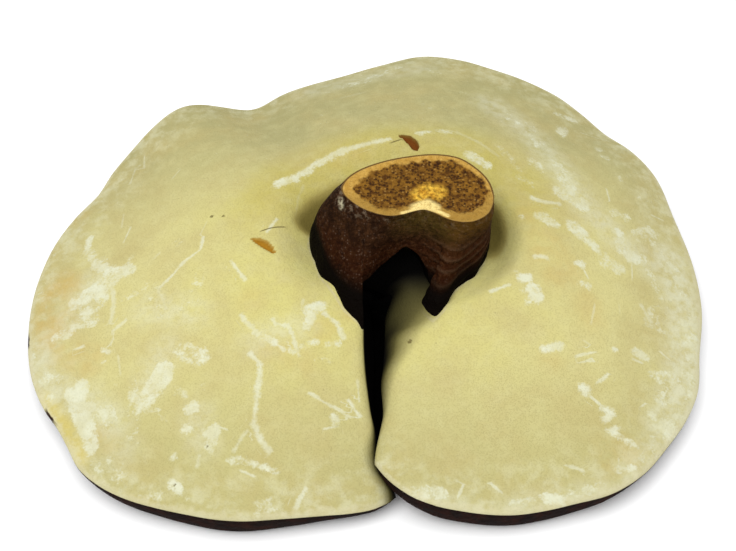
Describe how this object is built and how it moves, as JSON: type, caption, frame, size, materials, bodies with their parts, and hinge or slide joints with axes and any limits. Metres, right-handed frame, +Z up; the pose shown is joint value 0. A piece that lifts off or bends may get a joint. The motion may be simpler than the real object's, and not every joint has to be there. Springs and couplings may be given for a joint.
{
  "type": "bracket fungus",
  "caption": "Dried bracket fungus lying on its cap: kidney-shaped cap with its pore face up, lobes meeting in a slit, and a short cut stem standing in the middle.",
  "frame": {"origin": "under the middle of the outline, on the surface that the fungus lies on", "axes": "+X across the cap from the left lobe to the right lobe, +Y from the slit's open front to the back, +Z up along the stem, away from the crust"},
  "size_m": [0.1996, 0.1785, 0.05],
  "materials": {
    "cap": "matt pale yellow pore face over a glossy dark mahogany crust",
    "stem": "dark brown dusty bark, tan and brown fibrous cut face"
  },
  "bodies": {
    "root": {"cap": "cap", "stem": "stem"}
  },
  "joints": []
}
